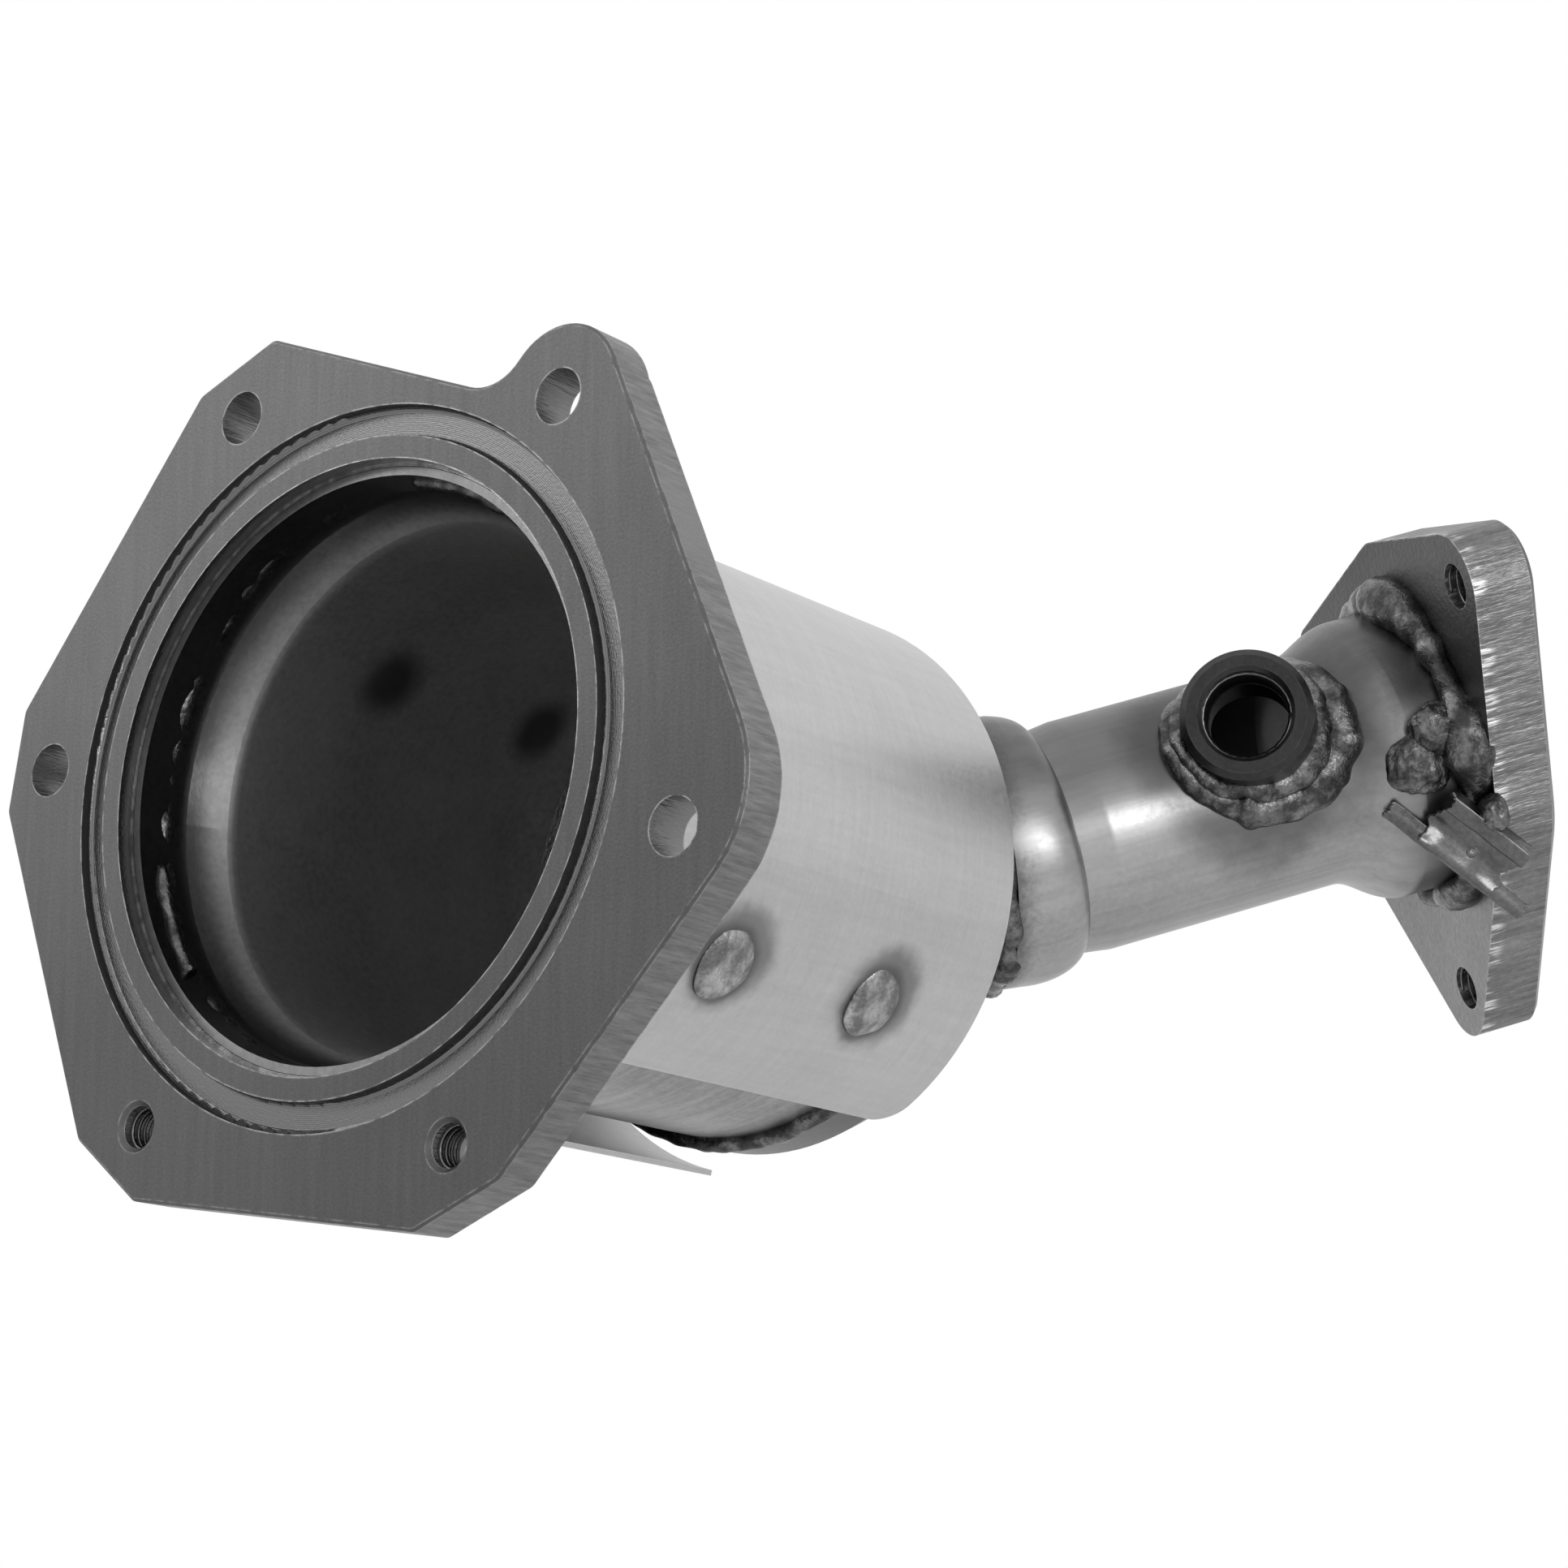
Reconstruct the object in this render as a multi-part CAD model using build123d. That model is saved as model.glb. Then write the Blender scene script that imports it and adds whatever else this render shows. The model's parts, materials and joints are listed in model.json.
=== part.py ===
from build123d import *
import os
from math import atan, atan2, cos, degrees, pi, radians, sin, sqrt

# Close-coupled catalytic converter in millimetres.
# The origin is the centre of the inlet flange's sealing face, +X runs along the bore into the
# converter and +Z is up. Every turned piece is drawn standing on its own Z axis and then placed.

# Can: a tube with a widened mouth that sits inside the inlet flange
can_radius = 45.15
can_wall = 1.4
can_end = 112.0
mouth_swell = 3.45
mouth_recess = 2.9
mouth_end = 12.0
swage_end = 20.5
swage_round = 5.0
fit_clearance = 0.1

# Inlet flange: a thick plate cut to a six-cornered outline, with a gasket groove round its bore
inlet_thickness = 8.0
inlet_bore_margin = 0.6
inlet_land_width = 3.8
inlet_groove_width = 5.0
inlet_groove_depth = 2.2
inlet_groove_round = 0.9
inlet_edge_chamfer = 0.5

# Bolt holes of the inlet flange: angle about the bore, distance outside the bolt circle
bolt_circle_margin = 18.0
upper_hole = (68.9, 0.0)
ear_hole = (131.3, 0.0)
side_hole = (196.9, 3.4)
lower_front_hole = (248.1, 0.0)
lower_back_hole = (308.2, 0.0)
back_hole = (8.4, 0.0)
inlet_bolt_hole = 8.9
inlet_tapped_hole = 6.8
tapped_countersink = 0.8

# Outline of the inlet flange: straight cuts outside five of the holes, and a round ear
outline_margin = 9.8
corner_turn_back = 5.3
corner_turn_ahead = 7.8
outline_corner_round = 2.5
lobe_reach = 16.2
lobe_turn = -4.4
lobe_round = 21.0
ear_margin = 7.2
ear_drop = 1.9
ear_blend = 9.0

# Catalyst brick with its mat and end seals, at the downstream end of the can
brick_length = 20.5
brick_face = 97.5
mat_thickness = 3.2
seal_length = 1.5
cell_pitch = 5.0
cell_wall = 1.2

# Outlet direction: the bell leaves the end cone and the pipe turns up a little at its shoulder
bell_yaw = 42.9
bell_pitch = 10.5
pipe_yaw = 44.5
pipe_pitch = 17.7
knee_point = (166.65, -22.25, 16.6)

# End cone: a collar over the can, then a dome that turns and narrows towards the bell. Each section
# has its centre, how much of the narrowing is still to come, and its share of the turn.
cone_wall = 1.4
collar_start = 105.0
collar_end = 113.0
dome_sections = (
    (127.2, -1.6, 3.4, 0.83, 0.28),
    (135.7, -3.6, 6.2, 0.656, 0.58),
    (146.5, -7.4, 10.4, 0.35, 0.84),
)
spigot_base_back = 14.0
spigot_gap = 0.5

# Outlet pipe: bell over the cone's spigot, knee, straight pipe and a flare into the flange
pipe_wall = 1.5
pipe_radius = 22.25
bell_swell = 3.45
bell_back = 13.0
bell_shoulder = 8.5
bell_steps = 3
neck_start = 0.5
neck_waist = 0.85
neck_blend = 7.0
pipe_round = 6.0
flare_start = 53.0
flare_full = 66.0
flare_swell = 5.15
flare_drop = 0.9
flare_steps = 4

# Outlet flange: thick plate across the pipe's end with three tapped holes, placed from the pipe's axis
outlet_face = 77.0
outlet_thickness = 12.2
outlet_recess = 3.0
outlet_mouth_margin = 0.4
outlet_tapped_hole = 8.5
outlet_holes = ((-43.7, 17.8), (17.6, -46.8), (31.0, 24.5))
outlet_corners = (
    (-57.5, 23.9, 10.0),
    (-22.8, -26.1, 26.0),
    (24.0, -60.6, 9.0),
    (44.5, -18.6, 16.0),
    (42.5, 34.2, 8.0),
    (-11.0, 37.8, 10.0),
)
outlet_edge_chamfer = 1.0

# Heat shield: a sheet wrapped round the can on standoffs, open below
shield_gap = 6.25
shield_sheet = 1.0
shield_start = 22.0
shield_end = 112.4
shield_near_edge = 241.2
shield_far_edge = 286.3
shield_tuck_start = 195.0
shield_tuck_in = 3.9
shield_corner_round = 5.5
rosette_stations = (45.0, 84.3)
rosette_angles = (215.6, 43.0)
rosette_radius = 6.1
rosette_height = 0.8
standoff_radius = 6.8
plug_hole_radius = 5.2

# Sensor boss, threaded M18 x 1.5, set askew on the pipe
boss_face = (166.0, -67.1, 34.5)
boss_direction = (-0.901, -0.429, -0.053)
boss_radius = 12.3
boss_bore_radius = 8.2
boss_mouth_radius = 9.0
boss_thread_depth = 8.6
boss_hole_radius = 7.5
boss_depth = 24.0
boss_chamfer = 1.2

# Weld beads
flange_weld_leg = 4.0
collar_weld_leg = 1.9
collar_weld_width = 8.0
bell_weld_leg = 3.0
bell_weld_width = 4.5
outlet_weld_leg = 5.0
boss_weld_radius = 18.0
boss_weld_shift = (1.8, -1.2)
boss_weld_height = 2.6
root_bead_height = 0.9
root_bead_width = 3.0
root_bead_station = 7.5
root_bead_spans = ((100.0, 48.0), (152.0, 40.0), (325.0, 25.0))

# Torn hanger left on the outlet weld: a strap, a folded channel on it and the weld behind it,
# placed in the pipe's frame
hanger_start_turn = 215.2
hanger_start_gap = 1.8
hanger_start_height = 58.2
hanger_along = (0.138, -0.773, 0.619)
hanger_facing = (-0.77, -0.48, -0.42)
hanger_sheet = 1.2
strap_length = 33.6
strap_width = 3.6
strap_drop = 1.0
channel_from = 7.8
channel_to = 26.0
channel_web = 7.6
channel_ridge = 2.2
channel_ridge_width = 3.6
channel_round = 0.7
hanger_weld_place = (19.0, 3.6)
hanger_weld_radius = 4.0
hanger_weld_reach = 14.0


def heading(yaw, pitch):
    """Unit vector turned from +X towards -Y by yaw and raised by pitch."""
    level = cos(radians(pitch))
    return Vector(level * cos(radians(yaw)), -level * sin(radians(yaw)), sin(radians(pitch)))


def frame_at(origin, normal):
    """Plane across a direction, its local y as near to up as it can be."""
    side = Vector(0, 0, 1).cross(Vector(*normal)).normalized()
    return Plane(origin=origin, x_dir=side, z_dir=normal)


def turned(*profile):
    """Solid of revolution about local Z from (radius, height) corners."""
    return revolve(Plane.XZ * make_face(Polyline(*profile, close=True)), Axis.Z)


def turned_wall(points, wall, rounding):
    """Sheet wall of revolution from the (radius, height) corners of its outside."""
    outside = FilletPolyline(*points, radius=rounding)
    inside = FilletPolyline(*[(r - wall, z) for r, z in points], radius=rounding)
    ends = [Line(outside @ 0, inside @ 0), Line(outside @ 1, inside @ 1)]
    return revolve(Plane.XZ * make_face([outside, inside, *ends]), Axis.Z)


def ring(outer, inner, start, end):
    """Plain ring on local Z between two heights."""
    return turned((inner, start), (outer, start), (outer, end), (inner, end))


def disc(radius, start, end):
    """Plain cylinder on local Z between two heights."""
    return Pos(0, 0, start) * Cylinder(radius, end - start, align=(Align.CENTER, Align.CENTER, Align.MIN))


def polar(angle, radius):
    return radius * cos(radians(angle)), radius * sin(radians(angle))


def nearest(sketch, place):
    """The sketch's corner nearest to a place."""
    return sketch.vertices().sort_by(lambda v: (v.center() - Vector(*place)).length)[0]


def fillet_bead(inner, foot, leg, width):
    """Convex weld bead in the corner between a tube and a face at height foot.

    It reaches leg out along the face, and width along the tube, downwards if width is negative.
    """
    tip = (inner, foot + width)
    toe = (inner + leg, foot)
    bulge = (inner + leg * 0.62, foot + width * 0.62)
    root = (inner, foot)
    section = make_face([ThreePointArc(tip, bulge, toe), Line(toe, root), Line(root, tip)])
    return revolve(Plane.XZ * section, Axis.Z)


main = Plane.YZ
bell_heading = heading(bell_yaw, bell_pitch)
pipe_heading = heading(pipe_yaw, pipe_pitch)
bell_frame = frame_at(knee_point, bell_heading)
pipe_frame = frame_at(knee_point, pipe_heading)
mouth_radius = can_radius + mouth_swell
inlet_bore_radius = mouth_radius + inlet_bore_margin
bolt_circle = inlet_bore_radius + bolt_circle_margin
outline_radius = bolt_circle + outline_margin
cone_radius = can_radius + fit_clearance + cone_wall
shield_radius = can_radius + shield_gap
shield_tuck_radius = shield_radius - shield_tuck_in
bell_radius = pipe_radius + bell_swell
spigot_radius = bell_radius - pipe_wall - fit_clearance
neck_radius = pipe_radius - neck_waist
flare_radius = pipe_radius + flare_swell


def hole_place(hole):
    return polar(hole[0], bolt_circle + hole[1])


def inlet_outline():
    """Six-cornered outline with a round ear, drawn about the bore."""
    def cut(hole):
        return [polar(hole[0] + turn, outline_radius) for turn in (-corner_turn_back, corner_turn_ahead)]

    lobe = polar(side_hole[0] + lobe_turn, bolt_circle + side_hole[1] + lobe_reach)
    lower_left = cut(lower_front_hole)
    lower_right = cut(lower_back_hole)
    top = cut(upper_hole)
    back = cut(back_hole)
    ear_centre = hole_place(ear_hole)
    ear_radius = inlet_bolt_hole / 2 + ear_margin
    reach = Vector(*ear_centre) - Vector(*lobe)
    swing = degrees(atan(ear_radius / sqrt(reach.length ** 2 - ear_radius ** 2)))
    shoulder = Vector(*lobe) + reach.rotate(Axis.Z, swing) * cos(radians(swing))
    brow = (ear_centre[0], ear_centre[1] - ear_drop)
    body = Polygon(lobe, *lower_left, *lower_right, *back, *top, brow, shoulder, align=None)
    corners = [v for v in body.vertices() if Vector(v.X, v.Y).length > outline_radius - 1]
    body = fillet([v for v in corners if (v.center() - Vector(*lobe)).length > 1], outline_corner_round)
    body = fillet(nearest(body, lobe), lobe_round)
    outline = body + Pos(*ear_centre) * Circle(ear_radius)
    joint = (ear_centre[0] + ear_radius, ear_centre[1])
    return fillet(nearest(outline, joint), ear_blend)


def inlet_flange():
    plate = extrude(inlet_outline(), inlet_thickness)
    plate = chamfer(plate.faces().sort_by(Axis.Z)[0].outer_wire().edges(), inlet_edge_chamfer)
    plate -= disc(mouth_radius + fit_clearance, 0, inlet_thickness)
    plate -= disc(inlet_bore_radius, 0, mouth_recess)
    groove_inner = inlet_bore_radius + inlet_land_width
    groove = Rectangle(inlet_groove_width, 2 * inlet_groove_depth)
    groove = fillet(groove.vertices(), inlet_groove_round)
    groove = Pos(groove_inner + inlet_groove_width / 2, 0) * groove
    plate -= revolve(Plane.XZ * groove, Axis.Z)
    for hole in (upper_hole, ear_hole, side_hole, back_hole):
        plate -= Pos(*hole_place(hole)) * disc(inlet_bolt_hole / 2, 0, inlet_thickness)
    for hole in (lower_front_hole, lower_back_hole):
        radius = inlet_tapped_hole / 2
        plate -= Pos(*hole_place(hole)) * disc(radius, 0, inlet_thickness)
        depth = tapped_countersink
        sink = turned((0, 0), (radius + depth, 0), (radius, depth), (0, depth))
        plate -= Pos(*hole_place(hole)) * sink
    return main.location * plate


def can_shell():
    points = (
        (mouth_radius, mouth_recess),
        (mouth_radius, mouth_end),
        (can_radius, swage_end),
        (can_radius, can_end),
    )
    return main.location * turned_wall(points, can_wall, swage_round)


def inlet_weld():
    return main.location * fillet_bead(mouth_radius, inlet_thickness, flange_weld_leg, flange_weld_leg)


def inlet_root_weld():
    """Stretches of bead that came through on the inside of the mouth."""
    outer = mouth_radius - can_wall
    low = root_bead_station - root_bead_width / 2
    high = root_bead_station + root_bead_width / 2
    section = make_face([
        ThreePointArc((outer, low), (outer - root_bead_height, root_bead_station), (outer, high)),
        Line((outer, high), (outer, low)),
    ])
    beads = [Rot(0, 0, start) * revolve(Plane.XZ * section, Axis.Z, revolution_arc=span)
             for start, span in root_bead_spans]
    return main.location * Compound(children=beads)


def substrate():
    """Ceramic brick with square cells right through it."""
    radius = can_radius - can_wall - mat_thickness
    brick = disc(radius, brick_face, brick_face + brick_length)
    rows = int(2 * radius / cell_pitch)
    half = (cell_pitch - cell_wall) / 2
    cells = []
    for column in range(rows + 1):
        for row in range(rows + 1):
            x = (column - rows / 2) * cell_pitch
            y = (row - rows / 2) * cell_pitch
            if sqrt((abs(x) + half) ** 2 + (abs(y) + half) ** 2) < radius - cell_wall:
                cells.append(Pos(x, y) * Rectangle(2 * half, 2 * half))
    holes = extrude(Pos(0, 0, brick_face) * Sketch(children=cells), brick_length)
    return main.location * (brick - holes)


def mat_ring(start, end):
    inner = can_radius - can_wall - mat_thickness
    return main.location * ring(can_radius - can_wall, inner, start, end)


def support_mat():
    return mat_ring(brick_face + seal_length, can_end - seal_length)


def front_seal_ring():
    return mat_ring(brick_face, brick_face + seal_length)


def rear_seal_ring():
    return mat_ring(can_end - seal_length, can_end)


def dome(shrink):
    """Filled dome of the end cone, smaller all round by shrink."""
    start = Plane(origin=(collar_end, 0, 0), x_dir=(0, 1, 0), z_dir=(1, 0, 0))
    sections = [start * Circle(cone_radius - shrink)]
    for x, y, z, ahead, share in dome_sections:
        facing = heading(bell_yaw * share, bell_pitch * share)
        radius = spigot_radius + (cone_radius - spigot_radius) * ahead
        sections.append(frame_at((x, y, z), facing) * Circle(radius - shrink))
    base = Vector(*knee_point) - bell_heading * spigot_base_back
    sections.append(frame_at(base, bell_heading) * Circle(spigot_radius - shrink))
    return loft(sections)


def end_cone_solid(shrink):
    collar = main.location * disc(cone_radius - shrink, collar_start, collar_end)
    spigot = disc(spigot_radius - shrink, -spigot_base_back, -bell_shoulder - spigot_gap)
    return collar + dome(shrink) + bell_frame.location * spigot


def end_cone():
    shell = end_cone_solid(0) - dome(cone_wall)
    shell -= main.location * disc(can_radius + fit_clearance, collar_start, collar_end)
    bore = spigot_radius - cone_wall
    return shell - bell_frame.location * disc(bore, -spigot_base_back - cone_wall, -bell_shoulder)


def cone_weld():
    return main.location * fillet_bead(can_radius, collar_start, collar_weld_leg, -collar_weld_width)


def bell_core(inset):
    """Filled bell, smaller by inset, whose shoulder turns square to the pipe as it closes."""
    body = bell_frame.location * disc(bell_radius - inset, -bell_back, -bell_shoulder)
    rise = bell_shoulder + neck_start
    sections = []
    for step in range(bell_steps + 1):
        share = step / bell_steps
        turn = radians(90 * share)
        along = (rise - inset) * sin(turn) - bell_shoulder
        radius = neck_radius + (bell_radius - neck_radius - inset) * cos(turn)
        facing = bell_heading * (1 - share) + pipe_heading * share
        sections.append(frame_at(Vector(*knee_point) + facing * along, facing) * Circle(radius))
    return body + loft(sections)


def outlet_bell():
    shell = bell_core(0) - bell_core(pipe_wall)
    return shell - pipe_frame.location * disc(neck_radius - pipe_wall, -bell_shoulder, neck_start)


def pipe():
    points = ((neck_radius, neck_start), (pipe_radius, neck_blend), (pipe_radius, flare_start))
    return pipe_frame.location * turned_wall(points, pipe_wall, pipe_round)


def flare_at(along):
    """Outside radius of the flare at a height along the pipe."""
    travel = min(max((along - flare_start) / (flare_full - flare_start), 0), 1)
    return pipe_radius + flare_swell * (1 - cos(pi * travel)) / 2


def flare_core(inset):
    """Filled flare, smaller by inset, whose centre drops as it widens."""
    sections = []
    for step in range(flare_steps + 1):
        along = flare_start + (flare_full - flare_start) * step / flare_steps
        radius = flare_at(along)
        drop = flare_drop * (radius - pipe_radius) / flare_swell
        sections.append(Pos(0, -drop, along) * Circle(radius - inset))
    end = outlet_face + outlet_thickness - outlet_recess
    return loft(sections) + Pos(0, -flare_drop) * disc(flare_radius - inset, flare_full, end)


def flare():
    return pipe_frame.location * (flare_core(0) - flare_core(pipe_wall))


def boss_frame():
    return frame_at(boss_face, boss_direction)


def boss_bore():
    """The boss's tapped mouth and the narrower hole from it into the pipe."""
    sink = boss_mouth_radius - boss_bore_radius
    bore = turned(
        (0, 0),
        (boss_mouth_radius, 0),
        (boss_bore_radius, -sink),
        (boss_bore_radius, -boss_thread_depth),
        (boss_hole_radius, -boss_thread_depth),
        (boss_hole_radius, -boss_depth),
        (0, -boss_depth),
    )
    return boss_frame().location * bore


def outlet_tube():
    return pipe() + flare() - boss_bore()


def pipe_core(extra):
    """Filled pipe and flare, larger by extra."""
    return pipe_frame.location * (disc(pipe_radius + extra, 0, flare_start) + flare_core(-extra))


def sensor_boss():
    body = disc(boss_radius, -boss_depth, 0)
    body = chamfer(body.edges().sort_by(Axis.Z)[-1], boss_chamfer)
    return boss_frame().location * body - boss_bore() - pipe_core(0)


def boss_weld():
    bead = pipe_core(boss_weld_height) - pipe_core(0)
    bead &= boss_frame().location * (Pos(*boss_weld_shift) * disc(boss_weld_radius, -boss_depth, 0))
    return bead - boss_frame().location * disc(boss_radius, -boss_depth, 0)


def bell_weld():
    """Bead in the crease between the bell's rim and the end cone."""
    sunk = cone_wall / 2
    bead = fillet_bead(spigot_radius - sunk, -bell_back, bell_weld_leg + sunk, -bell_weld_width)
    return bell_frame.location * bead - end_cone_solid(0)


def outlet_outline():
    plate = Polygon(*[(x, y) for x, y, _ in outlet_corners], align=None)
    for x, y, rounding in outlet_corners:
        plate = fillet(nearest(plate, (x, y)), rounding)
    return plate


def outlet_flange():
    plate = extrude(outlet_outline(), outlet_thickness)
    plate = chamfer(plate.faces().sort_by(Axis.Z)[-1].outer_wire().edges(), outlet_edge_chamfer)
    plate -= Pos(0, -flare_drop) * disc(flare_radius + fit_clearance, 0, outlet_thickness)
    mouth = disc(flare_radius + outlet_mouth_margin, outlet_thickness - outlet_recess, outlet_thickness)
    plate -= Pos(0, -flare_drop) * mouth
    for x, y in outlet_holes:
        plate -= Pos(x, y) * disc(outlet_tapped_hole / 2, 0, outlet_thickness)
    return pipe_frame.location * (Pos(0, 0, outlet_face) * plate)


def outlet_weld():
    bead = fillet_bead(flare_radius, outlet_face, outlet_weld_leg, -outlet_weld_leg)
    return pipe_frame.location * (Pos(0, -flare_drop) * bead)


def wrap_band(outer, inner):
    """Strip along the shield's section between two distances out from its outside.

    The near side follows a tighter arc past the tuck, so that its free edge lies closer to the can.
    """
    centre = Vector(*polar(shield_tuck_start, shield_radius - shield_tuck_radius))
    away = Vector(*polar(shield_near_edge, shield_radius)) - centre
    near_edge = degrees(atan2(away.Y, away.X)) % 360
    sides = []
    for offset in (outer, inner):
        start = shield_far_edge - 360
        main_arc = CenterArc((0, 0), shield_radius + offset, start, shield_tuck_start - start)
        span = near_edge - shield_tuck_start
        tuck = CenterArc(centre, shield_tuck_radius + offset, shield_tuck_start, span)
        sides.append((main_arc, tuck))
    (outer_main, outer_tuck), (inner_main, inner_tuck) = sides
    ends = [Line(outer_main @ 0, inner_main @ 0), Line(outer_tuck @ 1, inner_tuck @ 1)]
    return make_face([outer_main, outer_tuck, inner_main, inner_tuck, *ends])


def wrap(outer, inner):
    """The strip of wrap_band as a solid, as long as the shield."""
    band = extrude(wrap_band(outer, inner), shield_end - shield_start, dir=(0, 0, 1))
    return main.location * (Pos(0, 0, shield_start) * band)


def shield_post(angle, station, radius):
    """Radial cylinder through the shield at one rosette."""
    facing = Vector(0, *polar(angle, 1))
    frame = Plane(origin=(station, 0, 0), x_dir=(1, 0, 0), z_dir=facing)
    return frame.location * disc(radius, can_radius / 2, 2 * shield_radius)


def rosette_places():
    return [(angle, station) for angle in rosette_angles for station in rosette_stations]


def heat_shield():
    sheet = wrap(0, -shield_sheet)
    near = Vector(shield_end, *polar(shield_near_edge, shield_radius))
    corner = sheet.edges().sort_by(lambda e: (e.center() - near).length)[:6]
    corner = [e for e in corner if e.length < 2 * shield_sheet][0]
    sheet = fillet(corner, shield_corner_round)
    for place in rosette_places():
        sheet -= shield_post(*place, plug_hole_radius + fit_clearance)
    return sheet


def standoffs():
    """Discs that fill the gap between can and shield behind each rosette."""
    gap = wrap(-shield_sheet, -shield_radius / 4) - main.location * disc(can_radius, 0, can_end)
    return Compound(children=[gap & shield_post(*place, standoff_radius) for place in rosette_places()])


def rosette_welds():
    """Plugs that fill the holes in the shield, with a low cap on each."""
    plugs = []
    for place in rosette_places():
        plug = wrap(0, -shield_sheet) & shield_post(*place, plug_hole_radius)
        cap = wrap(rosette_height, 0) & shield_post(*place, rosette_radius)
        plugs.append(plug + cap)
    return Compound(children=plugs)


def hanger_frame():
    """Plane of the torn hanger: local x along it, local z out of its face."""
    out = flare_at(hanger_start_height) + hanger_start_gap
    start = (*polar(hanger_start_turn, out), hanger_start_height)
    local = Plane(origin=start, x_dir=hanger_along, z_dir=hanger_facing)
    return pipe_frame.location * local.location


def hanger_section(sketch, start, end):
    """Prism along the hanger from a section drawn across it."""
    across = Plane(origin=(start, 0, 0), x_dir=(0, 1, 0), z_dir=(1, 0, 0))
    return hanger_frame() * extrude(across * sketch, end - start, dir=(1, 0, 0))


def hanger_strap():
    strap = Pos(strap_width / 2 - strap_drop, 0) * Rectangle(strap_width, hanger_sheet)
    return hanger_section(strap, 0, strap_length)


def hanger_channel():
    middle = hanger_sheet
    ridge = channel_web + channel_ridge_width
    path = FilletPolyline(
        (0, middle),
        (channel_web, middle),
        (channel_web + channel_round, middle + channel_ridge),
        (ridge, middle + channel_ridge),
        (ridge + channel_round, middle - hanger_sheet / 2),
        radius=channel_round,
    )
    return hanger_section(trace(path, hanger_sheet), channel_from, channel_to)


def hanger_weld():
    """Weld between the back of the strap and the outlet weld."""
    stub = Pos(*hanger_weld_place) * disc(hanger_weld_radius, -hanger_weld_reach, -hanger_sheet / 2)
    stub = hanger_frame() * stub - outlet_weld() - pipe_core(0) - outlet_flange()
    return stub.solids().sort_by(lambda solid: -(solid.center() - hanger_frame().position).length)[-1]


nodes = {
    "inlet_flange": inlet_flange,
    "can_shell": can_shell,
    "inlet_weld": inlet_weld,
    "inlet_root_weld": inlet_root_weld,
    "substrate": substrate,
    "support_mat": support_mat,
    "front_seal_ring": front_seal_ring,
    "rear_seal_ring": rear_seal_ring,
    "end_cone": end_cone,
    "cone_weld": cone_weld,
    "outlet_bell": outlet_bell,
    "outlet_tube": outlet_tube,
    "bell_weld": bell_weld,
    "sensor_boss": sensor_boss,
    "boss_weld": boss_weld,
    "outlet_flange": outlet_flange,
    "outlet_weld": outlet_weld,
    "heat_shield": heat_shield,
    "standoffs": standoffs,
    "rosette_welds": rosette_welds,
    "hanger_strap": hanger_strap,
    "hanger_channel": hanger_channel,
    "hanger_weld": hanger_weld,
}

os.makedirs("parts", exist_ok=True)
for name, build in nodes.items():
    export_step(build(), f"parts/{name}.step")
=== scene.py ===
"""The looks of a close-coupled catalytic converter: its finishes, weld beads and threads,
with the photograph's camera and a plain pale studio."""

import json
from math import atan2, cos, degrees, exp, pi, radians, sin, sqrt, tau

import bmesh
import bpy
from mathutils import Matrix, Vector, noise


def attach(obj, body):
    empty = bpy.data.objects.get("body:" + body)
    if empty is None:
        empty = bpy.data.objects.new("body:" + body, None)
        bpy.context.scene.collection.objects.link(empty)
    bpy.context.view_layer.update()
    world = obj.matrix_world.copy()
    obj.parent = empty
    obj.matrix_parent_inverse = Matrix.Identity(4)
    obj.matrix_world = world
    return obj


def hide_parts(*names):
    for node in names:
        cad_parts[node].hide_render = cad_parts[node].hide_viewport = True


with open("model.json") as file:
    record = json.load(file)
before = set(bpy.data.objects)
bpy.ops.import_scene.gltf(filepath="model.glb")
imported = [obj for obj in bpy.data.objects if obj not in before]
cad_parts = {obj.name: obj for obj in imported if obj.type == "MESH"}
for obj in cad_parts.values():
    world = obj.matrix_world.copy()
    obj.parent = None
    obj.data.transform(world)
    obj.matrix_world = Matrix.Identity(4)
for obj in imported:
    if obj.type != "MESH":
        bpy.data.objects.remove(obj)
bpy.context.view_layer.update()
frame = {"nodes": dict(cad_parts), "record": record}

mm = 0.001

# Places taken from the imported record
mounts = {mount["name"]: mount for mount in frame["record"]["mounts"]}
pipe_axis = Vector(mounts["outlet"]["axis"]).normalized()

# Inlet end
bore_radius = 49.2 * mm
groove_inner = 53.0 * mm
groove_outer = 58.0 * mm
land_outer = 60.0 * mm
hole_walls_within = 72.5 * mm
flange_thickness = 8.0 * mm
mouth_inner = 47.2 * mm
mouth_outer = 48.6 * mm
can_outer = 45.15 * mm
can_inner = 44.0 * mm
mouth_end = 12.0 * mm
swage_end = 20.5 * mm
cone_weld_station = 103.6 * mm

# Heat shield and its four plug welds
shield_radius = 51.4 * mm
rosette_stations = (45.0 * mm, 84.3 * mm)
rosette_angles = (radians(215.6), radians(43.0))
rosette_radius = 6.1 * mm
rosette_cap = 0.8 * mm

# Pipe, bell and outlet flange, measured along the pipe from its knee
knee = Vector((166.65, -22.25, 16.6)) * mm
pipe_radius = 22.25 * mm
outlet_face = 77.0 * mm
flare_radius = 27.4 * mm
flare_drop = 0.9 * mm
bell_yaw, bell_pitch = radians(42.9), radians(10.5)
bell_back = 13.0 * mm
spigot_radius = 24.1 * mm
flare_start = 53.0 * mm
flare_full = 66.0 * mm

# Sensor boss
boss_face = Vector((166.0, -67.1, 34.5)) * mm
boss_axis = Vector(mounts["sensor_boss"]["axis"]).normalized()
boss_radius = 12.3 * mm
boss_height = 12.5 * mm

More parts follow.
